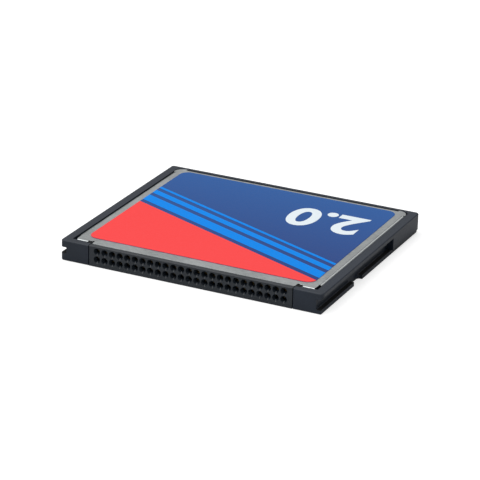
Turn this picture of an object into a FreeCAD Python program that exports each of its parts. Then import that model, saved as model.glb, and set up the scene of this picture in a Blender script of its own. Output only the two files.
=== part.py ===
import FreeCAD, Part
import math
import os
from FreeCAD import Vector

# Compact flash memory card, all sizes in millimetres.
# X runs along the connector, the socket face looks along -Y, and Z is up through the thickness.
# The origin is the middle of the bottom face.

# Outline of the card
card_width = 42.80
card_depth = 36.40
card_thickness = 3.30
corner_radius = 0.50
seam_bevel = 0.06

# Label, inset from the cover's edges
label_side_inset = 1.45
label_front_inset = 1.17
label_back_inset = 0.90
label_corner_radius = 1.50
label_film_thickness = 0.04
ink_thickness = 0.02

# Slanted ink bands, from and to a distance behind the label's front edge at the card's middle
band_slope = 0.42
red_band = (-20.0, 9.0)
blue_bands = ((10.0, 12.2), (13.2, 14.5), (15.5, 16.1))

# Stamped covers, flanges bent down into the frame
cover_sheet = 0.20
cover_side_margin = 1.48
cover_back_margin = 0.75
cover_front_margin = 1.30
cover_back_corner_radius = 1.45
cover_fit_gap = 0.08
cover_seat_corner_ease = 0.48
bend_radius = 0.45
flange_depth = 0.80
flange_end_gap = 0.10
side_flange_front_setback = 1.30
tab_corner_gap = 0.10
tab_seam_gap = 0.85
tongue_side_inset = 0.10
tongue_front_margin = 0.86
tongue_corner_radius = 0.25
cover_ear = 1.60
relief_radius = 0.20

# Moulded frame
rail_width = 2.35
back_wall = 1.90
corner_block_width = 4.70
corner_block_depth = 5.60
frame_edge_bevel = 0.12
right_lower_setback = 0.30
inside_corner_radius = 0.60
cover_groove_width = 0.56
cover_groove_extra_depth = 0.10
corner_pocket_width = 0.34
corner_pocket_depth = 0.36

# Guide slots in the frame's sides, for the rails of a card reader
guide_slot_length = 26.10
left_slot_bottom = 1.16
left_slot_height = 0.99
left_slot_depth = 1.00
left_slot_mouth_bevel = 0.14
right_slot_bottom = 0.63
right_slot_height = 1.60
right_slot_depth = 1.05
right_slot_mouth_bevel = 0.36
slot_inner_radius = 0.15
notch_from_front = 12.00
notch_length = 3.00
notch_radius = 0.50

# Connector housing with its sockets
housing_seam_gap = 0.05
socket_pitch = 1.27
socket_end_margin = 1.40
socket_mid_offset = 0.19
socket_mouth_diameter = 1.02
socket_throat_diameter = 0.64
socket_cone_depth = 0.60
socket_mouth_sides = 12
cavity_width = 0.70
cavity_height = 0.62
ear_length = 1.20
ear_depth = 1.30
ear_height = 1.40
ear_from_back = 0.70
ear_clearance = 0.05

# Socket contacts
contact_sheet = 0.10
contact_side_gap = 0.05
contact_top_gap = 0.12
contact_from_cone = 0.40
contact_length = 3.00
tail_width = 0.36
tail_overlap = 1.25

# Circuit board
board_thickness = 0.50
board_side_gap = 0.10
board_front_gap = 0.30
board_back_gap = 0.20
board_corner_bevel = 0.50
board_ledge_width = 0.70
board_ledge_clearance = 0.30

# Insulating films stuck inside the covers
film_thickness = 0.05
film_margin = 0.50

# Gull-wing packages
lead_sheet = 0.12
lead_foot_length = 0.45
package_standoff = 0.06
pin_one_bevel = 0.50

# Memory chips, side by side on the upper face of the board
memory_side_margin = 6.60
memory_from_board_back = 0.90
memory_from_arrays = 3.50
memory_chip_gap = 1.20
memory_headroom = 0.08
memory_lead_reach = 0.80
memory_lead_pitch = 0.50
memory_lead_width = 0.22
memory_lead_end_margin = 0.24

# Controller chip on the lower face of the board
controller_body = 10.00
controller_headroom = 0.19
controller_lead_reach = 1.00
controller_lead_pitch = 0.50
controller_lead_width = 0.24
controller_lead_end_margin = 1.24
controller_x = -6.50
controller_from_board_front = 14.80

# Clock crystal beside the controller
crystal_length = 3.20
crystal_width = 2.50
crystal_headroom = 0.50
crystal_base_height = 0.30
crystal_lid_inset = 0.25
crystal_from_controller = 5.10
crystal_from_board_front = 18.70

# Voltage regulator
regulator_length = 2.90
regulator_width = 1.60
regulator_headroom = 0.24
regulator_x = 9.60
regulator_from_board_front = 9.10
regulator_lead_reach = 0.60
regulator_lead_pitch = 0.95
regulator_lead_width = 0.40

# Ceramic capacitors beside the chips
ceramic_length = 1.00
ceramic_width = 0.50
ceramic_height = 0.50
ceramic_from_chip = 1.60
ceramic_spacing = 5.20

# Tantalum capacitors
tantalum_length = 3.20
tantalum_width = 1.60
tantalum_headroom = 0.30
tantalum_x = 12.60
tantalum_from_board_front = 16.50
tantalum_spacing = 4.00

# Single resistors, and resistor arrays behind the upper contacts
resistor_length = 1.00
resistor_width = 0.50
resistor_height = 0.35
resistor_count = 8
resistor_spacing = 1.60
resistor_from_board_front = 4.10
array_length = 2.00
array_width = 1.00
array_height = 0.45
array_spacing = 3.60
array_side_margin = 6.50
array_from_board_front = 3.50

# Soldered ends of the small parts
termination_length = 0.22
termination_growth = 0.02

# Overlap given to cutting tools, and to solids that are joined, so that no skin is left between them
overlap = 0.01

# Reach of cutting tools beyond the card
cutter_reach = 1.00

# Heights that follow
cover_top = card_thickness - label_film_thickness - ink_thickness
cover_underside = cover_top - cover_sheet
frame_top = cover_top
frame_bottom = 0.0
socket_mid_height = cover_top / 2 + socket_mid_offset
board_bottom = socket_mid_height - board_thickness / 2
board_top = socket_mid_height + board_thickness / 2
upper_room = cover_underside - film_thickness - board_top
lower_room = board_bottom - cover_sheet - film_thickness
memory_body_height = upper_room - package_standoff - memory_headroom
controller_body_height = lower_room - package_standoff - controller_headroom
crystal_height = lower_room - crystal_headroom
regulator_height = lower_room - package_standoff - regulator_headroom
tantalum_height = lower_room - tantalum_headroom

# Plan positions that follow
front = -card_depth / 2
back = card_depth / 2
side = card_width / 2
bay_side = side - corner_block_width
housing_side = bay_side - housing_seam_gap
housing_back = front + corner_block_depth
cover_side = side - cover_side_margin
cover_back = back - cover_back_margin
cover_front = front + cover_front_margin
plate_side = cover_side - bend_radius
plate_back = cover_back - bend_radius
plate_front = cover_front + bend_radius
tongue_side = housing_side - tongue_side_inset
tongue_front = front + tongue_front_margin
tab_outer = plate_side - tab_corner_gap
tab_inner = bay_side + tab_seam_gap
tab_seat_inner = tab_inner - cover_fit_gap - flange_end_gap
inside_side = side - rail_width
inside_back = back - back_wall
board_side = inside_side - board_side_gap
board_front = housing_back + board_front_gap
board_back = inside_back - board_back_gap
label_side = cover_side - label_side_inset
label_front = plate_front + label_front_inset
label_back = cover_back - label_back_inset
array_y = board_front + array_from_board_front
memory_toe_front = array_y + array_width / 2 + memory_from_arrays
memory_toe_back = board_back - memory_from_board_back
memory_y = (memory_toe_front + memory_toe_back) / 2
memory_body_length = memory_toe_back - memory_toe_front - 2 * memory_lead_reach
memory_body_width = board_side - memory_side_margin - memory_chip_gap / 2
controller_y = board_front + controller_from_board_front
controller_toe = controller_body / 2 + controller_lead_reach
crystal_x = controller_x + controller_toe + crystal_from_controller


# Helpers for outlines and solids

def outline(corners, height=0.0):
    # Closed flat outline through (x, y, radius) corners; a radius of 0 keeps a corner sharp.
    rounds = []
    for index, (x, y, radius) in enumerate(corners):
        before = corners[index - 1]
        after = corners[(index + 1) % len(corners)]
        corner = Vector(x, y, height)
        to_before = (Vector(before[0], before[1], height) - corner).normalize()
        to_after = (Vector(after[0], after[1], height) - corner).normalize()
        half_angle = to_before.getAngle(to_after) / 2
        setback = radius / math.tan(half_angle)
        to_middle = (to_before + to_after).normalize()
        arc_middle = corner + to_middle * (radius / math.sin(half_angle) - radius)
        rounds.append((corner + to_before * setback, arc_middle, corner + to_after * setback, radius))
    edges = []
    for index, (start, middle, end, radius) in enumerate(rounds):
        if radius > 0:
            edges.append(Part.Arc(start, middle, end).toShape())
        next_start = rounds[(index + 1) % len(rounds)][0]
        if end.distanceToPoint(next_start) > 1e-6:
            edges.append(Part.makeLine(end, next_start))
    return Part.Wire(edges)


def prism(corners, bottom, top):
    # Upright solid on an outline in plan.
    return Part.Face(outline(corners, bottom)).extrude(Vector(0, 0, top - bottom))


def lengthwise_prism(corners, y_start, y_end):
    # Solid along Y on an outline of (x, z, radius) corners.
    face = Part.Face(outline(corners))
    face.rotate(Vector(0, 0, 0), Vector(1, 0, 0), 90)
    face.translate(Vector(0, y_start, 0))
    return face.extrude(Vector(0, y_end - y_start, 0))


def block(x_range, y_range, z_range):
    # Box between three pairs of limits, given in any order.
    low = Vector(min(x_range), min(y_range), min(z_range))
    high = Vector(max(x_range), max(y_range), max(z_range))
    return Part.makeBox(high.x - low.x, high.y - low.y, high.z - low.z, low)


def rectangle(x_half, y_front, y_back, front_radius, back_radius):
    # Corners of a rectangle centred on X, with its own radius at the front and at the back.
    return [
        (-x_half, y_front, front_radius),
        (x_half, y_front, front_radius),
        (x_half, y_back, back_radius),
        (-x_half, y_back, back_radius),
    ]


def mirrored_in_plan(right_half):
    # Full outline from the corners of its right half, listed from front to back.
    left_half = [(-x, y, radius) for x, y, radius in reversed(right_half)]
    return right_half + left_half


def bevel_edges(solid, size, wanted):
    # Chamfer the edges for which wanted(bounding box) is true.
    edges = [edge for edge in solid.Edges if wanted(edge.BoundBox)]
    return solid.makeChamfer(size, edges)


def near(value, target):
    return abs(value - target) < 1e-4


def bevel_rim(solid, height, size):
    # Chamfer all edges that lie flat at one height.
    return bevel_edges(solid, size, lambda box: near(box.ZMin, height) and near(box.ZMax, height))


def fuse_all(solids):
    return solids[0].multiFuse(solids[1:]).removeSplitter()


def turned_over(solid):
    # The same piece upside down, about the middle plane between the two covers.
    middle = cover_top / 2
    copy = solid.copy()
    copy.rotate(Vector(0, 0, middle), Vector(0, 1, 0), 180)
    return copy


def strip_outline(path, sheet):
    # Points round a strip of even thickness that follows a bent path of (u, w) points, cut off square to u.
    half = sheet / 2
    upper = []
    lower = []
    for index, (u, w) in enumerate(path):
        headings = []
        if index > 0:
            headings.append(math.atan2(w - path[index - 1][1], u - path[index - 1][0]))
        if index < len(path) - 1:
            headings.append(math.atan2(path[index + 1][1] - w, path[index + 1][0] - u))
        heading = sum(headings) / 2 if len(headings) == 2 else 0
        reach = half / math.cos(heading - headings[0])
        upper.append((u - reach * math.sin(heading), w + reach * math.cos(heading)))
        lower.append((u + reach * math.sin(heading), w - reach * math.cos(heading)))
    return upper + lower[::-1]


def bent_strip(path, sheet, width, centre_x):
    # Sheet-metal strip across X whose path is given as (y, z) points.
    points = [Vector(centre_x - width / 2, y, z) for y, z in strip_outline(path, sheet)]
    face = Part.Face(Part.makePolygon(points + points[:1]))
    return face.extrude(Vector(width, 0, 0))


def spread(count, pitch):
    # Evenly spaced places, centred on zero.
    return [(index - (count - 1) / 2) * pitch for index in range(count)]


def spread_within(reach, pitch):
    # As many evenly spaced places as fit between -reach and reach.
    return spread(int(2 * reach / pitch) + 1, pitch)


def export(name, shapes):
    solids = [solid for shape in shapes for solid in shape.Solids]
    shape = solids[0] if len(solids) == 1 else Part.makeCompound(solids)
    shape.exportStep(os.path.join("parts", name + ".step"))
    print(name, len(solids), round(sum(solid.Volume for solid in solids), 3))


# Stamped covers

def flange(length):
    # Bent edge of a cover, run along Y from 0, with the flat plate's edge on x = 0.
    inner = bend_radius - cover_sheet
    bend_centre = Vector(0, 0, cover_top - bend_radius)
    bottom = cover_top - flange_depth
    slant = math.sqrt(0.5)

    def at(radius, across, up):
        return bend_centre + Vector(radius * across, 0, radius * up)

    edges = [
        Part.makeLine(at(inner, 0, 1), at(bend_radius, 0, 1)),
        Part.Arc(at(bend_radius, 0, 1), at(bend_radius, slant, slant), at(bend_radius, 1, 0)).toShape(),
        Part.makeLine(at(bend_radius, 1, 0), Vector(bend_radius, 0, bottom)),
        Part.makeLine(Vector(bend_radius, 0, bottom), Vector(inner, 0, bottom)),
        Part.makeLine(Vector(inner, 0, bottom), at(inner, 1, 0)),
        Part.Arc(at(inner, 1, 0), at(inner, slant, slant), at(inner, 0, 1)).toShape(),
    ]
    return Part.Face(Part.Wire(edges)).extrude(Vector(0, length, 0))


def placed_flange(length, turn, x, y):
    # Flange turned about Z and moved so that its run starts at (x, y).
    solid = flange(length)
    solid.rotate(Vector(0, 0, 0), Vector(0, 0, 1), turn)
    solid.translate(Vector(x, y, 0))
    return solid


def cover_flanges():
    side_start = plate_front + side_flange_front_setback
    side_end = cover_back - cover_ear - flange_end_gap
    back_reach = cover_side - cover_ear - flange_end_gap
    return [
        placed_flange(side_end - side_start, 0, plate_side, side_start),
        placed_flange(side_end - side_start, 180, -plate_side, side_end),
        placed_flange(2 * back_reach, 90, back_reach, plate_back),
        placed_flange(tab_outer - tab_inner, 270, tab_inner, plate_front),
        placed_flange(tab_outer - tab_inner, 270, -tab_outer, plate_front),
    ]


def cover_plate_corners():
    # Flat plate with its tongue in front and an ear at each back corner, between the flanges.
    ear_front = cover_back - cover_ear
    ear_inside = cover_side - cover_ear
    return mirrored_in_plan([
        (tongue_side, tongue_front, tongue_corner_radius),
        (tongue_side, plate_front, 0),
        (plate_side, plate_front, 0),
        (plate_side, ear_front, 0),
        (cover_side, ear_front, 0),
        (cover_side, cover_back, cover_back_corner_radius),
        (ear_inside, cover_back, 0),
        (ear_inside, plate_back, 0),
    ])


def make_top_cover():
    plate = prism(cover_plate_corners(), cover_underside, cover_top)
    for direction in (-1, 1):
        relief = Part.makeCylinder(relief_radius, cover_sheet, Vector(0, 0, 0))
        relief.translate(Vector(direction * (tongue_side + relief_radius), plate_front, cover_underside))
        plate = plate.cut(relief)
    return fuse_all([plate] + cover_flanges())


# Moulded frame

def cover_seat_corners():
    # Edge of the recess that takes a cover, a fit gap outside it.
    seat_side = cover_side + cover_fit_gap
    return mirrored_in_plan([
        (tab_seat_inner, plate_front - cover_fit_gap, 0),
        (tab_seat_inner, cover_front - cover_fit_gap, 0),
        (seat_side, cover_front - cover_fit_gap, 0),
        (seat_side, cover_back + cover_fit_gap, cover_back_corner_radius - cover_seat_corner_ease),
    ])


def cover_seat():
    # Recess in the frame's top: a ledge under the plate and a deep groove for the flanges.
    groove_floor = cover_top - flange_depth - cover_groove_extra_depth
    recess = prism(cover_seat_corners(), groove_floor, card_thickness)
    island_side = cover_side + cover_fit_gap - cover_groove_width
    island_front = cover_front - cover_fit_gap + cover_groove_width
    island_back = cover_back + cover_fit_gap - cover_groove_width
    island = prism(
        rectangle(island_side, island_front, island_back, 0, 0),
        groove_floor,
        cover_underside,
    )
    inner_block = prism(
        rectangle(tab_seat_inner, plate_front - cover_fit_gap, island_front, 0, 0),
        groove_floor,
        cover_underside,
    )
    seat = recess.cut(island).cut(inner_block)
    for direction in (-1, 1):
        pocket = block(
            (direction * (bay_side - overlap), direction * (bay_side + corner_pocket_width)),
            (plate_front - corner_pocket_depth, plate_front + cover_fit_gap),
            (groove_floor, card_thickness),
        )
        seat = seat.fuse(pocket)
    return seat


def guide_slot(direction, bottom, height, depth, mouth_bevel):
    # Slot for a reader's rail, open to the front and to one side, and the notch through its lower lip.
    top = bottom + height
    wall = direction * side
    floor = direction * (side - depth)
    outside = direction * (side + cutter_reach)
    section = [
        (outside, bottom, 0),
        (floor, bottom, slot_inner_radius),
        (floor, top, slot_inner_radius),
        (wall - direction * mouth_bevel, top, 0),
        (wall, top + mouth_bevel, 0),
        (outside, top + mouth_bevel, 0),
    ]
    channel = lengthwise_prism(section, front - cutter_reach, front + guide_slot_length)
    notch_front = front + notch_from_front
    notch = prism(
        [
            (floor, notch_front, notch_radius),
            (outside, notch_front, 0),
            (outside, notch_front + notch_length, 0),
            (floor, notch_front + notch_length, notch_radius),
        ],
        -cutter_reach,
        bottom + height / 2,
    )
    return channel.fuse(notch)


def board_ledges():
    # Ribs inside the rails that carry the board.
    ledge_bottom = cover_sheet + film_thickness + board_ledge_clearance
    ledges = []
    for direction in (-1, 1):
        ledges.append(block(
            (direction * (inside_side + overlap), direction * (inside_side - board_ledge_width)),
            (board_front, board_back - inside_corner_radius),
            (ledge_bottom, board_bottom),
        ))
    return ledges


def ear_block(direction, clearance, front_y, back_y):
    # Housing ear, or with a clearance the pocket that takes it.
    half_height = ear_height / 2 + clearance
    return block(
        (direction * (housing_side - overlap), direction * (housing_side + ear_length + clearance)),
        (front_y - clearance, back_y),
        (socket_mid_height - half_height, socket_mid_height + half_height),
    )


def right_lower_step():
    # What the right side stands back below its guide slot, along the whole card.
    across = (side - right_lower_setback, side + cutter_reach)
    along = (front - cutter_reach, back + cutter_reach)
    return block(across, along, (frame_bottom - cutter_reach, right_slot_bottom))


def make_frame():
    body = prism(rectangle(side, front, back, corner_radius, corner_radius), frame_bottom, frame_top)
    body = bevel_rim(body, frame_top, frame_edge_bevel)
    body = bevel_rim(body, frame_bottom, frame_edge_bevel)
    body = body.cut(right_lower_step())
    inside = rectangle(inside_side, housing_back, inside_back, 0, inside_corner_radius)
    through = (-cutter_reach, card_thickness)
    body = body.cut(prism(inside, *through))
    body = body.cut(block((-bay_side, bay_side), (front - cutter_reach, housing_back + overlap), through))
    body = bevel_edges(body, seam_bevel, is_bay_front_edge)
    seat = cover_seat()
    body = body.cut(seat).cut(turned_over(seat))
    right = guide_slot(1, right_slot_bottom, right_slot_height, right_slot_depth, right_slot_mouth_bevel)
    left = guide_slot(-1, left_slot_bottom, left_slot_height, left_slot_depth, left_slot_mouth_bevel)
    body = body.cut(right).cut(left)
    ear_front = housing_back - ear_from_back - ear_depth
    for direction in (-1, 1):
        body = body.cut(ear_block(direction, ear_clearance, ear_front, housing_back + overlap))
    return fuse_all([body] + board_ledges())


def is_bay_front_edge(box):
    # Upright edge where a corner block meets the connector bay.
    upright = box.ZLength > 1 and box.XLength < 0.01 and box.YLength < 0.01
    return upright and near(abs(box.XMin), bay_side) and near(box.YMin, front)


# Connector

def socket_places():
    return spread_within(housing_side - socket_end_margin, socket_pitch)


def row_heights():
    return {
        "upper": socket_mid_height + socket_pitch / 2,
        "lower": socket_mid_height - socket_pitch / 2,
    }


def ring_corners(x, y, z, radius):
    # Many-sided ring that stands in for a circle, because it is repeated for every socket.
    corners = []
    for index in range(socket_mouth_sides):
        angle = 2 * math.pi * (index + 0.5) / socket_mouth_sides
        corners.append(Vector(x + radius * math.cos(angle), y, z + radius * math.sin(angle)))
    return corners


def flat_sided_cone(wide, narrow):
    # Solid between two rings of as many corners.
    loops = [wide, narrow]
    for index in range(len(wide)):
        loops.append([wide[index - 1], wide[index], narrow[index], narrow[index - 1]])
    faces = [Part.Face(Part.makePolygon(loop + loop[:1])) for loop in loops]
    return Part.makeSolid(Part.makeShell(faces))


def socket_void(x, z):
    # Conical mouth and the cavity behind it, open at the back.
    throat_y = front + socket_cone_depth
    cone = flat_sided_cone(
        ring_corners(x, front, z, socket_mouth_diameter / 2),
        ring_corners(x, throat_y, z, socket_throat_diameter / 2),
    )
    cavity = block(
        (x - cavity_width / 2, x + cavity_width / 2),
        (throat_y, housing_back + overlap),
        (z - cavity_height / 2, z + cavity_height / 2),
    )
    return cone.fuse(cavity)


def is_housing_front_edge(box):
    return near(box.YMin, front) and near(box.YMax, front)


def make_connector_housing():
    lip_back = tongue_front - cover_fit_gap
    body = block((-housing_side, housing_side), (front, housing_back), (frame_bottom, frame_top))
    long_edges = [edge for edge in body.Edges if is_housing_front_edge(edge.BoundBox)]
    across = [edge for edge in long_edges if edge.BoundBox.XLength > 1]
    upright = [edge for edge in long_edges if edge.BoundBox.ZLength > 1]
    body = body.makeChamfer(seam_bevel, across + upright)
    behind_lip = block(
        (-side, side),
        (lip_back, housing_back + cutter_reach),
        (cover_underside, card_thickness),
    )
    body = body.cut(behind_lip).cut(turned_over(behind_lip))
    ear_front = housing_back - ear_from_back - ear_depth
    ears = [ear_block(direction, 0, ear_front, ear_front + ear_depth) for direction in (-1, 1)]
    body = fuse_all([body] + ears)
    voids = [socket_void(x, z) for z in row_heights().values() for x in socket_places()]
    return body.cut(Part.makeCompound(voids))


def make_contact(x, row):
    # Channel that grips a pin, with its closed wall towards the board, and a tail on the board's face.
    if row == "upper":
        outward, board_face = 1, board_top
    else:
        outward, board_face = -1, board_bottom
    floor = row_heights()[row] - outward * cavity_height / 2
    top = floor + outward * (cavity_height - contact_top_gap)
    start = front + socket_cone_depth + contact_from_cone
    end = start + contact_length
    half = cavity_width / 2 - contact_side_gap
    channel = block((x - half, x + half), (start, end), (floor, top))
    groove_half = half - contact_sheet
    groove = block(
        (x - groove_half, x + groove_half),
        (start, end),
        (floor + outward * contact_sheet, top),
    )
    strip_half = outward * contact_sheet / 2
    path = [
        (end - contact_sheet, floor + strip_half),
        (housing_back + contact_sheet, floor + strip_half),
        (board_front, board_face + strip_half),
        (board_front + tail_overlap, board_face + strip_half),
    ]
    tail = bent_strip(path, contact_sheet, tail_width, x)
    return fuse_all([channel.cut(groove), tail])


def make_contacts(row):
    return [make_contact(x, row) for x in socket_places()]


# Circuit board and films

def make_circuit_board():
    inner_side = board_side - board_corner_bevel
    corners = mirrored_in_plan([
        (inner_side, board_front, 0),
        (board_side, board_front + board_corner_bevel, 0),
        (board_side, board_back - board_corner_bevel, 0),
        (inner_side, board_back, 0),
    ])
    return prism(corners, board_bottom, board_top)


def make_film(bottom):
    # Clear of the frame's inner wall all round, and stuck to the cover.
    film_side = inside_side - film_margin
    return block(
        (-film_side, film_side),
        (housing_back + film_margin, inside_back - film_margin),
        (bottom, bottom + film_thickness),
    )


# Chip packages

def on_board(upper, size_z, gap=0.0):
    # Bottom and top heights of something that stands off one face of the board.
    if upper:
        return board_top + gap, board_top + gap + size_z
    return board_bottom - gap, board_bottom - gap - size_z


def package_body(centre, length_x, length_y, height, upper):
    # Moulded body with a bevelled corner at its first lead.
    x, y = centre
    near_board, outer = on_board(upper, height, package_standoff)
    left, right = x - length_x / 2, x + length_x / 2
    front_edge, back_edge = y - length_y / 2, y + length_y / 2
    corners = [
        (left + pin_one_bevel, front_edge, 0),
        (right, front_edge, 0),
        (right, back_edge, 0),
        (left, back_edge, 0),
        (left, front_edge + pin_one_bevel, 0),
    ]
    return prism(corners, min(near_board, outer), max(near_board, outer))


def gull_lead(along, body_edge, toe, body_height, width, upper):
    # One lead across X at x = along, from the body's edge out to its toe, both measured along +Y.
    outward = 1 if upper else -1
    board_face = board_top if upper else board_bottom
    foot = board_face + outward * lead_sheet / 2
    shoulder = board_face + outward * (package_standoff + body_height / 2)
    path = [
        (body_edge, shoulder),
        (toe - lead_foot_length, foot),
        (toe, foot),
    ]
    return bent_strip(path, lead_sheet, width, along)


def lead_row(centre, turn, places, width, body_half, toe, body_height, upper):
    # Leads at the given places along one side of a package, turned about Z to that side.
    leads = []
    for along in places:
        lead = gull_lead(along, body_half, toe, body_height, width, upper)
        lead.rotate(Vector(0, 0, 0), Vector(0, 0, 1), turn)
        lead.translate(Vector(centre[0], centre[1], 0))
        leads.append(lead)
    return leads


def memory_centres():
    return [(x, memory_y) for x in spread(2, memory_body_width + memory_chip_gap)]


def make_memory_chips():
    return [
        package_body(centre, memory_body_width, memory_body_length, memory_body_height, True)
        for centre in memory_centres()
    ]


def make_memory_leads():
    places = spread_within(memory_body_width / 2 - memory_lead_end_margin, memory_lead_pitch)
    body_half = memory_body_length / 2
    toe = body_half + memory_lead_reach
    width = memory_lead_width
    leads = []
    for centre in memory_centres():
        for turn in (0, 180):
            leads += lead_row(centre, turn, places, width, body_half, toe, memory_body_height, True)
    return leads


def make_controller_chip():
    centre = (controller_x, controller_y)
    return [package_body(centre, controller_body, controller_body, controller_body_height, False)]


def make_controller_leads():
    centre = (controller_x, controller_y)
    body_half = controller_body / 2
    places = spread_within(body_half - controller_lead_end_margin, controller_lead_pitch)
    width = controller_lead_width
    height = controller_body_height
    leads = []
    for turn in (0, 90, 180, 270):
        leads += lead_row(centre, turn, places, width, body_half, controller_toe, height, False)
    return leads


def regulator_centre():
    return (regulator_x, board_front + regulator_from_board_front)


def make_voltage_regulator():
    near_board, outer = on_board(False, regulator_height, package_standoff)
    x, y = regulator_centre()
    x_range = (x - regulator_length / 2, x + regulator_length / 2)
    y_range = (y - regulator_width / 2, y + regulator_width / 2)
    return [block(x_range, y_range, (near_board, outer))]


def make_regulator_leads():
    body_half = regulator_width / 2
    toe = body_half + regulator_lead_reach
    centre = regulator_centre()
    width = regulator_lead_width
    pair = (-regulator_lead_pitch, regulator_lead_pitch)
    three = spread(3, regulator_lead_pitch)
    two_leads = lead_row(centre, 0, pair, width, body_half, toe, regulator_height, False)
    three_leads = lead_row(centre, 180, three, width, body_half, toe, regulator_height, False)
    return two_leads + three_leads


def make_clock_crystal():
    # Ceramic base with a seam-welded lid, in one can.
    y = board_front + crystal_from_board_front
    near_board, base_outer = on_board(False, crystal_base_height)
    base = (0, (near_board, base_outer))
    lid = (crystal_lid_inset, (base_outer, near_board - crystal_height))
    solids = []
    for inset, z_range in (base, lid):
        half_x = crystal_length / 2 - inset
        half_y = crystal_width / 2 - inset
        solids.append(block((crystal_x - half_x, crystal_x + half_x), (y - half_y, y + half_y), z_range))
    return [fuse_all(solids)]


def small_part(centre, length, width, height, upper, turned=False):
    # Two-ended part whose soldered ends are a little thicker than its body.
    near_board, outer = on_board(upper, height)
    body_outer = outer - termination_growth if upper else outer + termination_growth
    end = length / 2
    shoulder = end - termination_length
    section = [
        (-end, near_board, 0),
        (end, near_board, 0),
        (end, outer, 0),
        (shoulder, outer, 0),
        (shoulder, body_outer, 0),
        (-shoulder, body_outer, 0),
        (-shoulder, outer, 0),
        (-end, outer, 0),
    ]
    part = lengthwise_prism(section, -width / 2, width / 2)
    if turned:
        part.rotate(Vector(0, 0, 0), Vector(0, 0, 1), 90)
    part.translate(Vector(centre[0], centre[1], 0))
    return part


def make_ceramic_capacitors():
    # Two columns on each side of the memory chips, and one on each side of the controller.
    size = (ceramic_length, ceramic_width, ceramic_height)
    chips_side = memory_body_width + memory_chip_gap / 2
    columns = [chips_side + ceramic_from_chip, chips_side + 2 * ceramic_from_chip]
    rows = [memory_y + offset for offset in spread(3, ceramic_spacing)]
    reach = controller_toe + ceramic_from_chip
    parts = []
    for direction in (-1, 1):
        for x in columns:
            parts += [small_part((direction * x, y), *size, True, True) for y in rows]
        x = controller_x + direction * reach
        for offset in spread(2, ceramic_spacing):
            parts.append(small_part((x, controller_y + offset), *size, False, True))
    return parts


def make_tantalum_capacitors():
    size = (tantalum_length, tantalum_width, tantalum_height)
    middle = board_front + tantalum_from_board_front
    places = [(tantalum_x, middle + offset) for offset in spread(2, tantalum_spacing)]
    return [small_part(centre, *size, False) for centre in places]


def make_resistors():
    size = (resistor_length, resistor_width, resistor_height)
    y = board_front + resistor_from_board_front
    return [small_part((x, y), *size, False, True) for x in spread(resistor_count, resistor_spacing)]


def make_resistor_arrays():
    size = (array_length, array_width, array_height)
    places = spread_within(board_side - array_side_margin, array_spacing)
    return [small_part((x, array_y), *size, True) for x in places]


# Label, as fields of flat colour in straight slanted bands

def label_corners():
    return rectangle(label_side, label_front, label_back, label_corner_radius, label_corner_radius)


def make_label_film():
    return [prism(label_corners(), cover_top, cover_top + label_film_thickness)]


def make_bands(bands):
    # Ink between pairs of slanted lines, clipped to the label's outline.
    bottom = cover_top + label_film_thickness
    sheet = prism(label_corners(), bottom, bottom + ink_thickness)
    reach = 2 * label_side
    drop = reach * band_slope
    solids = []
    for start, end in bands:
        corners = [
            (-reach, label_front + start + drop, 0),
            (reach, label_front + start - drop, 0),
            (reach, label_front + end - drop, 0),
            (-reach, label_front + end + drop, 0),
        ]
        solids += sheet.common(prism(corners, bottom, bottom + ink_thickness)).Solids
    return solids


def main():
    os.makedirs("parts", exist_ok=True)
    top_cover = make_top_cover()
    export("frame", [make_frame()])
    export("top_cover", [top_cover])
    export("bottom_cover", [turned_over(top_cover)])
    export("label_film", make_label_film())
    export("label_red_ink", make_bands([red_band]))
    export("label_blue_ink", make_bands(blue_bands))
    export("connector_housing", [make_connector_housing()])
    export("upper_contacts", make_contacts("upper"))
    export("lower_contacts", make_contacts("lower"))
    export("circuit_board", [make_circuit_board()])
    export("top_insulating_film", [make_film(cover_underside - film_thickness)])
    export("bottom_insulating_film", [make_film(cover_sheet)])
    export("memory_chips", make_memory_chips())
    export("memory_chip_leads", make_memory_leads())
    export("controller_chip", make_controller_chip())
    export("controller_chip_leads", make_controller_leads())
    export("clock_crystal", make_clock_crystal())
    export("voltage_regulator", make_voltage_regulator())
    export("voltage_regulator_leads", make_regulator_leads())
    export("ceramic_capacitors", make_ceramic_capacitors())
    export("tantalum_capacitors", make_tantalum_capacitors())
    export("resistors", make_resistors())
    export("resistor_arrays", make_resistor_arrays())


main()
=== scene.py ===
import math

import bmesh
import bpy
from mathutils import Matrix, Vector


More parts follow.
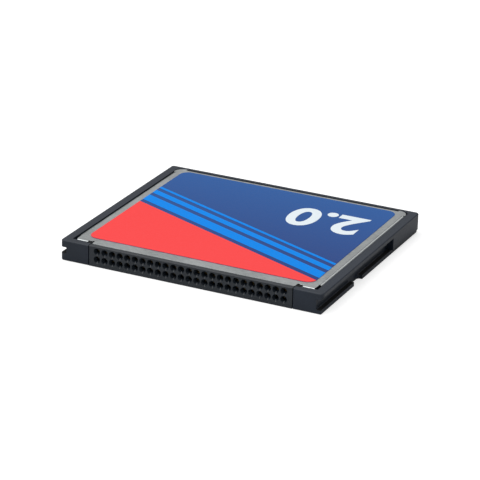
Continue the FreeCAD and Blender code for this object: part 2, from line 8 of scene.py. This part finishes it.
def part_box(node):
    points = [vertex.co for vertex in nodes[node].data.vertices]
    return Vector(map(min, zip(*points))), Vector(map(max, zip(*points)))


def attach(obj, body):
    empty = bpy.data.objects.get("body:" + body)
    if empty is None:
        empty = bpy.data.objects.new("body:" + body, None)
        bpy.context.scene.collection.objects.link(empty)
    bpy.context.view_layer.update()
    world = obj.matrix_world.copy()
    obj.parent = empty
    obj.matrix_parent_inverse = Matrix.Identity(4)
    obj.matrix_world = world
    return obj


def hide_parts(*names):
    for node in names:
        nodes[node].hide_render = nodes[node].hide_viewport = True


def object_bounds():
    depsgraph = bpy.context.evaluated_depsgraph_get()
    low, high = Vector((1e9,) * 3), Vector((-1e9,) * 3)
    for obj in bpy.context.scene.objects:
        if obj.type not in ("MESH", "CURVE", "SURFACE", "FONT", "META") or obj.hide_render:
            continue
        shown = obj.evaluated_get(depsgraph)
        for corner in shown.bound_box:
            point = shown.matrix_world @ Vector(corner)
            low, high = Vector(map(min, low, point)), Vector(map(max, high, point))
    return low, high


# Looks of a compact flash memory card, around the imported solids. Lengths are in metres unless a name says mm.
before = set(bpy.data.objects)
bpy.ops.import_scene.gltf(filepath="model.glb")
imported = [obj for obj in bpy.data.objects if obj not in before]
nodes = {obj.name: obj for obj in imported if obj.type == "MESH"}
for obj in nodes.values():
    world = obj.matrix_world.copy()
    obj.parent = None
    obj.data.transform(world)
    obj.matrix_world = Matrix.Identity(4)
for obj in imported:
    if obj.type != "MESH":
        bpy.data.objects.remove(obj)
cadLow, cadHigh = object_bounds()
mm = 0.001
samePoint = 1e-7             # points nearer than this are one
print("stage: frame loaded,", len(nodes), "nodes")


# Small helpers

def hexToLinear(code):
    # sRGB hex colour to the linear values that shaders take
    parts = [int(code[i:i + 2], 16) / 255 for i in (0, 2, 4)]
    return tuple([p / 12.92 if p <= 0.04045 else ((p + 0.055) / 1.055) ** 2.4 for p in parts] + [1.0])


def addNode(tree, kind, settings=None, inputs=None):
    # One node with its settings; each socket takes a value or another node's output
    node = tree.nodes.new(kind)
    for name, value in (settings or {}).items():
        setattr(node, name, value)
    for name, value in (inputs or {}).items():
        if isinstance(value, bpy.types.NodeSocket):
            tree.links.new(value, node.inputs[name])
        else:
            node.inputs[name].default_value = value
    return node


def setMaterial(names, material):
    for name in names:
        slots = nodes[name].material_slots
        for slot in slots:
            slot.material = material
        if not slots:
            nodes[name].data.materials.append(material)


def newPiece(name, mesh, material=None):
    piece = bpy.data.objects.new(name, mesh)
    bpy.context.scene.collection.objects.link(piece)
    if material:
        mesh.materials.append(material)
    return piece


# What a finish has where its own dictionary says nothing else
plainFinish = {
    "wideShare": (0.0, 0.0),     # share of the wide pattern in colour and in gloss, the fine one has the rest
    "spread": (0.3, 0.7),        # values of a pattern that give the first and the last colour and gloss
    "bumpFrom": "fine",
    "bumpStrength": 0.2,
    "bumpMm": 0.003,
    "edgeMm": 0.0,               # how far the light sees an edge as rounded
    "edgeSamples": 4,
}


def patternOnPiece(tree, sizeMm, stretch=(1, 1, 1), detail=3.0, roughness=0.55):
    # Lumps sizeMm across in a piece's own coordinates, pulled out of shape where the pattern runs one way
    coordinates = addNode(tree, "ShaderNodeTexCoord")
    place = addNode(tree, "ShaderNodeMapping", None, {
        "Vector": coordinates.outputs["Object"], "Scale": stretch,
    })
    noise = addNode(tree, "ShaderNodeTexNoise", None, {
        "Vector": place.outputs[0], "Scale": 1 / (sizeMm * mm), "Detail": detail, "Roughness": roughness,
    })
    return noise.outputs[0]


def makeFinish(name, ownLook):
    # Material whose colour and gloss follow a fine and a wide pattern, with a slight bump
    look = {**plainFinish, **ownLook}
    material = bpy.data.materials.new(name)
    material.use_nodes = True
    tree = material.node_tree
    tree.nodes.clear()
    patterns = {size: patternOnPiece(tree, **look[size]) for size in ("fine", "wide") if size in look}
    fine, wide = patterns["fine"], patterns.get("wide", patterns["fine"])
    low, high = look["spread"]
    ranges = []
    for share, (first, last) in zip(look["wideShare"], ((0, 1), look["rough"])):
        both = addNode(tree, "ShaderNodeMix", None, {0: share, 2: fine, 3: wide})
        ranges.append(addNode(tree, "ShaderNodeMapRange", None, {
            "Value": both.outputs[0], "From Min": low, "From Max": high, "To Min": first, "To Max": last,
        }).outputs[0])
    darkest, lightest = [hexToLinear(code) for code in look["colours"]]
    colour = addNode(tree, "ShaderNodeMix", {"data_type": "RGBA"}, {0: ranges[0], 6: darkest, 7: lightest})
    bump = addNode(tree, "ShaderNodeBump", None, {
        "Strength": look["bumpStrength"], "Distance": look["bumpMm"] * mm, "Height": patterns[look["bumpFrom"]],
    })
    if look["edgeMm"]:
        edge = addNode(tree, "ShaderNodeBevel", {"samples": look["edgeSamples"]}, {"Radius": look["edgeMm"] * mm})
        tree.links.new(edge.outputs[0], bump.inputs["Normal"])
    shader = addNode(tree, "ShaderNodeBsdfPrincipled", None, {
        **look["shader"], "Base Color": colour.outputs[2], "Roughness": ranges[1], "Normal": bump.outputs[0],
    })
    addNode(tree, "ShaderNodeOutputMaterial", None, {"Surface": shader.outputs[0]})
    return material, tree, shader


# Frame: glass-filled polyester, moulded against a finely spark-eroded tool.
# To the eye a near-black plastic with a soft sheen, a fine even grain, and edges that a finger has polished.
framePlastic = {
    "colours": ("141D29", "1C2634"),
    "fine": {"sizeMm": 0.16},    # real spark-eroded grain is near 0.04 mm, drawn coarser so that it shows
    "wide": {"sizeMm": 7.0, "stretch": (1, 0.35, 1), "detail": 2.0},     # how the plastic flowed
    "wideShare": (1.0, 0.0),
    "rough": (0.36, 0.50),
    "shader": {"IOR": 1.57, "Specular IOR Level": 0.34},
    "bumpStrength": 0.35,
    "bumpMm": 0.006,
    "edgeMm": 0.06,              # a moulded corner's real rounding
    "edgeSamples": 6,
    "paintedShadeColour": "030406",      # painted shade: near black on the slot floors, the seats under the covers and the painted openings beside their tabs
    "sunkRough": 0.90,
    "sunkMm": 0.10,              # how far below the outer faces a face counts as sunk
    "levelWithin": 0.1,          # how much the upward share of a level face's direction may lack
    # where a near-black opening is painted beside each tab, as painted shade
    "paintedOpeningMm": {"middle": (17.02, -16.93), "half": (0.46, 0.40)},
}


def paintedShadeFaces(tree):
    # Where the painted shade goes: 1 on level faces below the frame's outer faces and on the painted openings
    # beside the tabs, 0 elsewhere
    look = framePlastic
    low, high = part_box("frame")
    middle, half = look["paintedOpeningMm"]["middle"], look["paintedOpeningMm"]["half"]
    coordinates = addNode(tree, "ShaderNodeTexCoord").outputs
    place = addNode(tree, "ShaderNodeSeparateXYZ", None, {0: coordinates["Object"]}).outputs
    facing = addNode(tree, "ShaderNodeSeparateXYZ", None, {0: coordinates["Normal"]}).outputs
    fromMiddle, upOrDown = [
        addNode(tree, "ShaderNodeMath", {"operation": "ABSOLUTE"}, {0: value}).outputs[0]
        for value in (place["X"], facing["Z"])
    ]
    tests = (
        (place["Z"], (low.z + high.z) / 2, (high.z - low.z) / 2 - look["sunkMm"] * mm),
        (fromMiddle, middle[0] * mm, half[0] * mm),
        (place["Y"], middle[1] * mm, half[1] * mm),
        (upOrDown, 1.0, look["levelWithin"]),
    )
    below, openAcross, openAlong, level = [
        addNode(tree, "ShaderNodeMath", {"operation": "COMPARE"}, {0: value, 1: wanted, 2: reach}).outputs[0]
        for value, wanted, reach in tests
    ]
    paintedOpening = addNode(tree, "ShaderNodeMath", {"operation": "MULTIPLY"}, {0: openAcross, 1: openAlong})
    dark = addNode(tree, "ShaderNodeMath", {"operation": "MAXIMUM"}, {0: below, 1: paintedOpening.outputs[0]})
    paintedShade = addNode(tree, "ShaderNodeMath", {"operation": "MULTIPLY"}, {0: dark.outputs[0], 1: level})
    return paintedShade.outputs[0]


def makeFramePlastic():
    look = framePlastic
    material, tree, shader = makeFinish("glassFilledPolyesterMoulded", look)
    colour, rough = [shader.inputs[name].links[0].from_socket for name in ("Base Color", "Roughness")]
    # Painted shade: sunk level faces and the painted openings beside the tabs turn near black and rough
    paintedShade = paintedShadeFaces(tree)
    darker = addNode(tree, "ShaderNodeMix", {"data_type": "RGBA"}, {
        0: paintedShade, 6: colour, 7: hexToLinear(look["paintedShadeColour"]),
    })
    rougher = addNode(tree, "ShaderNodeMix", None, {0: paintedShade, 2: rough, 3: look["sunkRough"]})
    tree.links.new(darker.outputs[2], shader.inputs["Base Color"])
    tree.links.new(rougher.outputs[0], shader.inputs["Roughness"])
    return material


# Connector housing: liquid crystal polymer, moulded thin and fast.
# To the eye a slightly greyer, drier black with faint flow streaks along its length.
housingPlastic = {
    "colours": ("181F27", "20272F"),
    "fine": {"sizeMm": 0.12},    # drawn at about three times the real grain
    "wide": {"sizeMm": 0.5, "stretch": (0.08, 1, 1), "detail": 2.0},     # flow streaks
    "wideShare": (1.0, 0.0),
    "rough": (0.34, 0.46),
    "shader": {"IOR": 1.6, "Specular IOR Level": 0.40},
    "bumpStrength": 0.3,
    "bumpMm": 0.004,
    "edgeMm": 0.03,
}


# Covers: cold-rolled stainless sheet with a satin finish.
# To the eye a plain mid grey with fine short scratches across the card and softly burnished bends, with painted
# shade in a line where each bend starts.
coverSteel = {
    "colours": ("A2A6A7", "D8DCDC"),
    # Grit lines are near 0.02 mm apart, drawn coarser so that they show
    "fine": {"sizeMm": 0.12, "stretch": (0.12, 1, 1), "detail": 4.0, "roughness": 0.7},
    "wide": {"sizeMm": 5.0, "detail": 2.0},      # faint clouds
    "wideShare": (0.25, 0.25),
    "spread": (0.35, 0.65),
    "rough": (0.26, 0.42),
    "shader": {"Metallic": 1.0},
    "bumpStrength": 0.25,
    "bumpMm": 0.002,
    "edgeMm": 0.05,
    "bendShadeColour": "000000",
    "bendShadeShare": 0.40,          # painted shade: a dark line where the sheet starts to bend
    "bendUp": (0.93, 0.995),     # what the upward share of the surface's direction is there
}


def makeCoverSteel():
    look = coverSteel
    material, tree, shader = makeFinish("stainlessSteelSatinRolled", look)
    colour = shader.inputs["Base Color"].links[0].from_socket
    # Painted shade: faces tilted a little from level, where each bend starts, are darkened towards black
    flat, bent = look["bendUp"]
    normal = addNode(tree, "ShaderNodeTexCoord").outputs["Normal"]
    facing = addNode(tree, "ShaderNodeSeparateXYZ", None, {0: normal})
    up = addNode(tree, "ShaderNodeMath", {"operation": "ABSOLUTE"}, {0: facing.outputs["Z"]})
    bend = addNode(tree, "ShaderNodeMath", {"operation": "COMPARE"}, {
        0: up.outputs[0], 1: (flat + bent) / 2, 2: (bent - flat) / 2,
    })
    bendShade = addNode(tree, "ShaderNodeMath", {"operation": "MULTIPLY"}, {0: bend.outputs[0], 1: look["bendShadeShare"]})
    bendShaded = addNode(tree, "ShaderNodeMix", {"data_type": "RGBA"}, {
        0: bendShade.outputs[0], 6: colour, 7: hexToLinear(look["bendShadeColour"]),
    })
    tree.links.new(bendShaded.outputs[2], shader.inputs["Base Color"])
    return material


# Label: polyester film, screen printed and varnished.
# To the eye flat, full colours under a satin coat, with a hint of unevenness in the ink.
labelPrint = {
    # A printing screen's mesh is near 0.15 mm, drawn coarser so that it shows
    "fine": {"sizeMm": 0.35, "detail": 2.0},
    "wide": {"sizeMm": 1.2, "detail": 2.0},      # peel of the varnish
    "rough": (0.42, 0.52),
    "shader": {"IOR": 1.5, "Specular IOR Level": 0.06},      # satin varnish, duller than bare film
    "bumpFrom": "wide",
    "bumpMm": 0.004,
    "mottle": 0.08,              # how far the ink's colour strays, as a share of the way between its two
}

# Each ink's colour at the sockets and at the back edge
labelInks = {
    "polyesterFilmDarkBlue": ("303F79", "3260A2"),
    "screenInkRed": ("FC4B4C", "FB4849"),
    "screenInkBrightBlue": ("0086EA", "008AF0"),
    "screenInkWhite": ("EEF6FA", "E6F0F6"),
}


def makeLabelPrint(name):
    material, tree, shader = makeFinish(name, {**labelPrint, "colours": labelInks[name]})
    colour = shader.inputs["Base Color"].links[0].from_node
    mottle = colour.inputs[0].links[0].from_socket
    stray = labelPrint["mottle"]
    coordinates = addNode(tree, "ShaderNodeTexCoord")
    place = addNode(tree, "ShaderNodeSeparateXYZ", None, {0: coordinates.outputs["Object"]})
    along = addNode(tree, "ShaderNodeMapRange", None, {
        "Value": place.outputs["Y"], "From Min": cadLow.y, "From Max": cadHigh.y,
        "To Min": -stray / 2, "To Max": 1 - stray / 2,
    })
    uneven = addNode(tree, "ShaderNodeMath", {"operation": "MULTIPLY_ADD", "use_clamp": True}, {
        0: mottle, 1: stray, 2: along.outputs[0],
    })
    tree.links.new(uneven.outputs[0], colour.inputs[0])
    return material


# Parts inside, which show only where a cover is off. Metals are bright and drawn along their length,
# laminate and film are glossy, and moulded epoxy and fired ceramic are dull and grainy.
insideFinishes = {
    "goldPlatedBronze": {
        "nodes": ["upper_contacts", "lower_contacts"],
        # Darker and duller than bare gold plating: painted shade for contacts that sit deep behind the socket
        # mouths
        "colours": ("7E6A40", "9A8558"), "rough": (0.42, 0.58), "shader": {"Metallic": 1.0},
        "fine": {"sizeMm": 0.12, "stretch": (1, 0.1, 1)},
    },
    "greenSolderMask": {
        "nodes": ["circuit_board"],
        "colours": ("0B3F22", "125C31"), "rough": (0.25, 0.40), "shader": {"IOR": 1.52, "Coat Weight": 0.3},
        "fine": {"sizeMm": 0.5, "stretch": (1, 0.15, 1)},
    },
    "polyimideFilmAmber": {
        "nodes": ["top_insulating_film", "bottom_insulating_film"],
        "colours": ("A8610F", "C27A1C"), "rough": (0.18, 0.30), "shader": {"IOR": 1.7},
        "fine": {"sizeMm": 3.0},
    },
    "epoxyMouldCompound": {
        "nodes": ["memory_chips", "controller_chip", "voltage_regulator"],
        "colours": ("141415", "1F1F21"), "rough": (0.55, 0.72), "shader": {"IOR": 1.55},
        "fine": {"sizeMm": 0.10},
    },
    "tinPlatedLeads": {
        "nodes": ["memory_chip_leads", "controller_chip_leads", "voltage_regulator_leads"],
        "colours": ("B4B6B4", "CDCECB"), "rough": (0.30, 0.50), "shader": {"Metallic": 1.0},
        "fine": {"sizeMm": 0.08},
    },
    "goldFlashedCanLid": {
        "nodes": ["clock_crystal"],
        "colours": ("BDB59A", "D6CFB6"), "rough": (0.25, 0.40), "shader": {"Metallic": 1.0},
        "fine": {"sizeMm": 0.15, "stretch": (1, 0.1, 1)},
    },
    "firedCeramicTan": {
        "nodes": ["ceramic_capacitors"],
        "colours": ("8C6C4A", "A88763"), "rough": (0.40, 0.55), "shader": {"IOR": 1.6},
        "fine": {"sizeMm": 0.09},
    },
    "tantalumEpoxyYellow": {
        "nodes": ["tantalum_capacitors"],
        "colours": ("C98F1E", "E0A935"), "rough": (0.40, 0.55), "shader": {"IOR": 1.55},
        "fine": {"sizeMm": 0.12},
    },
    "glazedResistorBlack": {
        "nodes": ["resistors", "resistor_arrays"],
        "colours": ("101012", "1C1C1F"), "rough": (0.25, 0.38), "shader": {"IOR": 1.55},
        "fine": {"sizeMm": 0.08},
    },
}

housingMaterial = makeFinish("liquidCrystalPolymerMoulded", housingPlastic)[0]
setMaterial(["frame"], makeFramePlastic())
setMaterial(["top_cover", "bottom_cover"], makeCoverSteel())
setMaterial(["label_film"], makeLabelPrint("polyesterFilmDarkBlue"))
setMaterial(["label_red_ink"], makeLabelPrint("screenInkRed"))
setMaterial(["label_blue_ink"], makeLabelPrint("screenInkBrightBlue"))
setMaterial(["connector_housing"], housingMaterial)
for materialName, insideLook in insideFinishes.items():
    setMaterial(insideLook["nodes"], makeFinish(materialName, insideLook)[0])
print("stage: materials made")


# Connector housing, with its sockets repeated from one cell
socketHousing = {
    "perRow": 25,
    "rows": 2,
    "pitchMm": 1.27,
    "sides": 24,                 # points round a mouth, a multiple of 4
    "mouthMm": 1.06,
    "throatMm": 0.64,
    "lipMm": 0.04,               # rounding round the mouth
    "lipSteps": 3,
    "rampMm": {"from": (0.66, 0.0), "to": (0.35, 0.26)},     # radius and depth of the ramp below each mouth
    "coneMm": 0.60,
    "throatLengthMm": 0.06,
    "cavityMm": (0.70, 0.62),
    "lipDepthMm": 0.78,          # full-height lip in front of the covers' tongues
    "stepMm": 0.20,              # how far the body drops behind the lip
    "bevelMm": 0.06,
    "seamMm": 0.06,              # open seam at either end, besides the clearance in the solids
    "endNotchMm": 0.55,          # how far the body behind the lip stays clear of the frame
    "earMm": (1.20, 1.30, 1.40),
    "earFromBackMm": 0.70,
    "earRootMm": 0.01,           # how far an ear reaches into the body
}


def roundLoop(count, radius):
    angles = [2 * math.pi * (i + 0.5) / count for i in range(count)]
    return [(radius * math.cos(a), radius * math.sin(a)) for a in angles]


def squareLoop(count, width, height):
    # Points round a rectangle at the angles of a round loop's points, so that the two loops join in even quads
    perSide = count // 4
    steps = [2 * i / perSide - 1 for i in range(perSide)]
    right = [(1, s) for s in steps]
    loop = right + [(-s, 1) for s in steps] + [(-1, -s) for s in steps] + [(s, -1) for s in steps]
    start = perSide // 2
    loop = loop[start:] + loop[:start]
    return [(x * width / 2, z * height / 2) for x, z in loop]


def makeSocketCell(frontY, backY):
    # One socket from its face to the back of its cavity, standing alone at the origin
    look = socketHousing
    count, pitch = look["sides"], look["pitchMm"]
    mouth, lip, steps = look["mouthMm"] / 2, look["lipMm"], look["lipSteps"]
    (rampWide, rampFront), (rampNarrow, rampBack) = look["rampMm"]["from"], look["rampMm"]["to"]
    lowest = count * 3 // 4
    face = squareLoop(count, pitch, pitch)
    loops = [[(x, 0, z) for x, z in face]]
    for step in range(steps + 1):
        share = step / steps
        turn = math.pi / 2 * share
        depth = lip * (1 - math.cos(turn))
        loop = [(x, depth, z) for x, z in roundLoop(count, mouth + lip * (1 - math.sin(turn)))]
        ramp = roundLoop(count, rampWide + (rampNarrow - rampWide) * share)
        for i in (lowest - 1, lowest):
            loop[i] = (ramp[i][0], rampFront + (rampBack - rampFront) * share, ramp[i][1])
        loops.append(loop)
    coneEnd = look["coneMm"]
    throatEnd = coneEnd + look["throatLengthMm"]
    cavityEnd = (backY - frontY) / mm
    throat = roundLoop(count, look["throatMm"] / 2)
    cavity = squareLoop(count, *look["cavityMm"])
    for loop, depth in ((throat, coneEnd), (throat, throatEnd), (cavity, throatEnd),
                        (cavity, cavityEnd), (face, cavityEnd)):
        loops.append([(x, depth, z) for x, z in loop])
    mesh = bpy.data.meshes.new("socketCell")
    shape = bmesh.new()
    rings = [[shape.verts.new((x * mm, frontY + y * mm, z * mm)) for x, y, z in loop] for loop in loops]
    for outer, inner in zip(rings, rings[1:]):
        for i in range(count):
            shape.faces.new((outer[i - 1], outer[i], inner[i], inner[i - 1]))
    shape.to_mesh(mesh)
    shape.free()
    return mesh


def makeRowsTree(material):
    # Repeats the cell over the rows, centred in X, with the rows' middle at a height
    tree = bpy.data.node_groups.new("socketRows", "GeometryNodeTree")
    for name, kind in (("Cell", "Geometry"), ("Sockets per row", "Int"), ("Rows", "Int"),
                       ("Row width", "Float"), ("Rows apart", "Float"), ("Middle height", "Float")):
        tree.interface.new_socket(name, in_out="INPUT", socket_type="NodeSocket" + kind)
    tree.interface.new_socket("Sockets", in_out="OUTPUT", socket_type="NodeSocketGeometry")
    given = addNode(tree, "NodeGroupInput").outputs
    places = addNode(tree, "GeometryNodeMeshGrid", None, {
        "Size X": given["Row width"], "Size Y": given["Rows apart"],
        "Vertices X": given["Sockets per row"], "Vertices Y": given["Rows"],
    })
    height = addNode(tree, "ShaderNodeCombineXYZ", None, {"Z": given["Middle height"]})
    upright = addNode(tree, "GeometryNodeTransform", None, {
        "Geometry": places.outputs["Mesh"], "Translation": height.outputs[0], "Rotation": (math.pi / 2, 0, 0),
    })
    cells = addNode(tree, "GeometryNodeInstanceOnPoints", None, {
        "Points": upright.outputs[0], "Instance": given["Cell"],
    })
    real = addNode(tree, "GeometryNodeRealizeInstances", None, {"Geometry": cells.outputs[0]})
    painted = addNode(tree, "GeometryNodeSetMaterial", None, {
        "Geometry": real.outputs[0], "Material": material,
    })
    addNode(tree, "NodeGroupOutput", None, {0: painted.outputs[0]})
    return tree


def applyNodes(piece, tree, values):
    # Runs a node tree on a piece and keeps the result as its plain mesh
    modifier = piece.modifiers.new("rows", "NODES")
    modifier.node_group = tree
    for item in tree.interface.items_tree:
        if item.in_out == "INPUT" and item.name in values:
            modifier[item.identifier] = values[item.name]
    seen = piece.evaluated_get(bpy.context.evaluated_depsgraph_get())
    mesh = bpy.data.meshes.new_from_object(seen)
    piece.modifiers.clear()
    piece.data = mesh


def onRim(point, halfWidth, bottom, top):
    # Whether a point lies on the outline of the block of cells
    return min(halfWidth - abs(point.x), point.z - bottom, top - point.z) < samePoint


def growRim(shape, edges, place):
    # New loop of faces out from a loop of edges, each new point where place() puts it
    grown = bmesh.ops.extrude_edge_only(shape, edges=edges)["geom"]
    points = {item for item in grown if isinstance(item, bmesh.types.BMVert)}
    for point in points:
        point.co = place(point.co)
    return [item for item in grown if isinstance(item, bmesh.types.BMEdge) and points.issuperset(item.verts)]


def stretched(old, new):
    # Moves points from one rectangle's outline to another's; each is half width, bottom, top and y
    def place(point):
        up = (point.z - old[1]) / (old[2] - old[1])
        return Vector((point.x / old[0] * new[0], new[3], new[1] + up * (new[2] - new[1])))
    return place


def addBlock(shape, low, high):
    # Closed box between two corners
    matrix = Matrix.Translation((low + high) / 2) @ Matrix.Diagonal((*(high - low), 1))
    bmesh.ops.create_cube(shape, size=1, matrix=matrix)


def makeSocketHousing(material):
    look = socketHousing
    low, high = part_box("connector_housing")
    pitch = look["pitchMm"] * mm
    middle = (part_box("lower_contacts")[0].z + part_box("upper_contacts")[1].z) / 2
    piece = newPiece("socketHousing", makeSocketCell(low.y, high.y))
    applyNodes(piece, makeRowsTree(material), {
        "Sockets per row": look["perRow"],
        "Rows": look["rows"],
        "Row width": (look["perRow"] - 1) * pitch,
        "Rows apart": (look["rows"] - 1) * pitch,
        "Middle height": middle,
    })
    halfRows = look["rows"] * pitch / 2
    cells = (look["perRow"] * pitch / 2, middle - halfRows, middle + halfRows)
    earX, earY, earZ = [size * mm for size in look["earMm"]]
    side = high.x - earX - look["seamMm"] * mm
    innerSide = side - look["endNotchMm"] * mm
    bevel, step = look["bevelMm"] * mm, look["stepMm"] * mm
    lipBack = low.y + look["lipDepthMm"] * mm
    inner = (innerSide, low.z + step, high.z - step)
    outlines = {
        low.y: [
            (side - bevel, low.z + bevel, high.z - bevel, low.y),
            (side, low.z, high.z, low.y + bevel),
            (side, low.z, high.z, lipBack),
            (*inner, lipBack),
        ],
        high.y: [(*inner, high.y), (*inner, lipBack)],
    }
    shape = bmesh.new()
    shape.from_mesh(piece.data)
    bmesh.ops.remove_doubles(shape, verts=shape.verts, dist=samePoint)
    for y, sizes in outlines.items():
        rim = [edge for edge in shape.edges if edge.is_boundary
               and all(abs(v.co.y - y) < samePoint and onRim(v.co, *cells) for v in edge.verts)]
        for old, new in zip([(*cells, y)] + sizes, sizes):
            rim = growRim(shape, rim, stretched(old, new))
    bmesh.ops.remove_doubles(shape, verts=shape.verts, dist=2 * samePoint)
    bmesh.ops.recalc_face_normals(shape, faces=shape.faces)
    earBack = high.y - look["earFromBackMm"] * mm
    for sign in (-1, 1):
        ends = sorted((sign * (innerSide - look["earRootMm"] * mm), sign * high.x))
        addBlock(shape, Vector((ends[0], earBack - earY, middle - earZ / 2)),
                 Vector((ends[1], earBack, middle + earZ / 2)))
    shape.to_mesh(piece.data)
    shape.free()
    for polygon in piece.data.polygons:
        polygon.use_smooth = False
    return piece


housing = makeSocketHousing(housingMaterial)
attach(housing, "root")
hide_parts("connector_housing")
print("stage: socket housing,", len(housing.data.polygons), "faces")


# Plain number on the label, printed to be read from the back edge
labelFigure = {
    "digits": "2.0",
    "heightMm": 7.6,
    "widthShare": 0.98,
    "bolderMm": 0.30,
    "startMm": (16.2, 11.6),     # where the first digit's foot starts, and its baseline
    "spacing": 1.02,
    "curveSteps": 6,
}


def makeLabelFigure():
    look = labelFigure
    curve = bpy.data.curves.new("labelFigure", "FONT")
    curve.body = look["digits"]
    curve.space_character = look["spacing"]
    curve.resolution_u = look["curveSteps"]
    text = newPiece("labelFigure", curve, makeLabelPrint("screenInkWhite"))
    bpy.context.view_layer.update()
    curve.offset = look["bolderMm"] / look["heightMm"] * text.dimensions.y
    bpy.context.view_layer.update()
    mesh = bpy.data.meshes.new_from_object(text.evaluated_get(bpy.context.evaluated_depsgraph_get()))
    bpy.data.objects.remove(text)
    low = Vector((min(v.co.x for v in mesh.vertices), min(v.co.y for v in mesh.vertices), 0))
    size = look["heightMm"] * mm / (max(v.co.y for v in mesh.vertices) - low.y)
    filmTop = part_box("label_film")[1].z
    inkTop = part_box("label_red_ink")[1].z
    x, y = look["startMm"]
    mesh.transform(Matrix.Translation((x * mm, y * mm, filmTop)) @ Matrix.Rotation(math.pi, 4, "Z")
                   @ Matrix.Diagonal((size * look["widthShare"], size, 1, 1)) @ Matrix.Translation(-low))
    shape = bmesh.new()
    shape.from_mesh(mesh)
    bmesh.ops.remove_doubles(shape, verts=shape.verts, dist=samePoint)
    raised = bmesh.ops.extrude_face_region(shape, geom=shape.faces[:])["geom"]
    for item in raised:
        if isinstance(item, bmesh.types.BMVert):
            item.co.z = inkTop
    bmesh.ops.recalc_face_normals(shape, faces=shape.faces)
    shape.to_mesh(mesh)
    shape.free()
    for polygon in mesh.polygons:
        polygon.use_smooth = False
    return newPiece("labelFigure", mesh)


figure = makeLabelFigure()
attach(figure, "root")
print("stage: label figure,", len(figure.data.polygons), "faces")


# Camera, fitted to the card's outline and sockets in the picture
cameraFit = {
    "azimuth": 25.276,
    "elevation": 22.056,
    "roll": -1.447,
    "offsetMm": (-0.413, 0.855),
    "distanceMm": 384.352,
    "lens": 189.76,
    "sensor": 36,
    "nearest": 0.01,
}


def makeCamera():
    look = cameraFit
    azimuth, elevation, roll = (math.radians(look[k]) for k in ("azimuth", "elevation", "roll"))
    back = Vector((math.sin(azimuth) * math.cos(elevation), -math.cos(azimuth) * math.cos(elevation),
                   math.sin(elevation)))
    right = Vector((0, 0, 1)).cross(back).normalized()
    up = back.cross(right)
    turned = Matrix.Rotation(roll, 3, "Z") @ Matrix((right, up, back))
    axes = turned.transposed()
    place = axes @ Vector((*look["offsetMm"], look["distanceMm"])) * mm
    data = bpy.data.cameras.new("camera")
    data.sensor_fit = "HORIZONTAL"
    data.sensor_width = look["sensor"]
    data.lens = look["lens"]
    data.clip_start = look["nearest"]
    camera = bpy.data.objects.new("camera", data)
    camera.matrix_world = Matrix.Translation(place) @ axes.to_4x4()
    bpy.context.scene.collection.objects.link(camera)
    bpy.context.scene.camera = camera


# Studio: a pale table, a large soft lamp in front, a small one behind and a sky that brightens upwards
studio = {
    "floorSize": 4.0,
    "floorDropMm": 0.02,
    "floorColour": "CCCCCC",
    "floorGlow": 0.62,
    "lamps": {
        "softboxFrontLeft": {"power": 1.95, "size": 0.70, "place": (-0.25, -0.235, 0.50)},
        "lightBackRight": {"power": 0.16, "size": 0.22, "place": (0.12, 0.68, 0.42)},
    },
    "skyTilt": 0.25,             # how much darker the sky is to the right than to the left
    "sky": ((0.0, 0.06), (0.30, 0.26), (0.58, 0.46), (0.75, 0.78), (1.0, 0.95)),
}


def makeFloor():
    mesh = bpy.data.meshes.new("floor")
    shape = bmesh.new()
    bmesh.ops.create_grid(shape, x_segments=1, y_segments=1, size=studio["floorSize"] / 2)
    shape.to_mesh(mesh)
    shape.free()
    mesh.transform(Matrix.Translation((0, 0, -studio["floorDropMm"] * mm)))
    material = bpy.data.materials.new("paperSweepWhite")
    material.use_nodes = True
    tree = material.node_tree
    tree.nodes.clear()
    paper = addNode(tree, "ShaderNodeBsdfDiffuse", None, {"Color": hexToLinear(studio["floorColour"])})
    path = addNode(tree, "ShaderNodeLightPath")
    seen = addNode(tree, "ShaderNodeMath", {"operation": "MULTIPLY"}, {
        0: path.outputs["Is Camera Ray"], 1: studio["floorGlow"],
    })
    glow = addNode(tree, "ShaderNodeEmission", None, {"Strength": seen.outputs[0]})
    both = addNode(tree, "ShaderNodeAddShader", None, {0: paper.outputs[0], 1: glow.outputs[0]})
    addNode(tree, "ShaderNodeOutputMaterial", None, {"Surface": both.outputs[0]})
    newPiece("floor", mesh, material)


def makeSky():
    world = bpy.data.worlds.new("studioSky")
    bpy.context.scene.world = world
    world.use_nodes = True
    tree = world.node_tree
    tree.nodes.clear()
    tilt = studio["skyTilt"]
    direction = addNode(tree, "ShaderNodeTexCoord").outputs["Generated"]
    apart = addNode(tree, "ShaderNodeSeparateXYZ", None, {0: direction}).outputs
    across = addNode(tree, "ShaderNodeMath", {"operation": "MULTIPLY_ADD"}, {
        0: apart["X"], 1: -tilt / (1 + tilt), 2: tilt / (1 + tilt),
    })
    height = addNode(tree, "ShaderNodeMath", {"operation": "MULTIPLY_ADD"}, {
        0: apart["Z"], 1: 1 / (1 + tilt), 2: across.outputs[0],
    })
    ramp = addNode(tree, "ShaderNodeValToRGB", None, {0: height.outputs[0]})
    stops = ramp.color_ramp.elements
    while len(stops) < len(studio["sky"]):
        stops.new(0.5)
    for stop, (position, level) in zip(stops, studio["sky"]):
        stop.position = position
        stop.color = (level, level, level, 1)
    sky = addNode(tree, "ShaderNodeBackground", None, {"Color": ramp.outputs[0]})
    addNode(tree, "ShaderNodeOutputWorld", None, {"Surface": sky.outputs[0]})


def makeLamps():
    for name, look in studio["lamps"].items():
        data = bpy.data.lights.new(name, "AREA")
        data.shape = "SQUARE"
        data.size = look["size"]
        data.energy = look["power"]
        lamp = bpy.data.objects.new(name, data)
        lamp.location = look["place"]
        lamp.rotation_euler = (-lamp.location).to_track_quat("-Z", "Y").to_euler()
        bpy.context.scene.collection.objects.link(lamp)


makeCamera()
makeFloor()
makeSky()
makeLamps()
bpy.context.scene.view_settings.view_transform = "Standard"
print("stage: studio set")
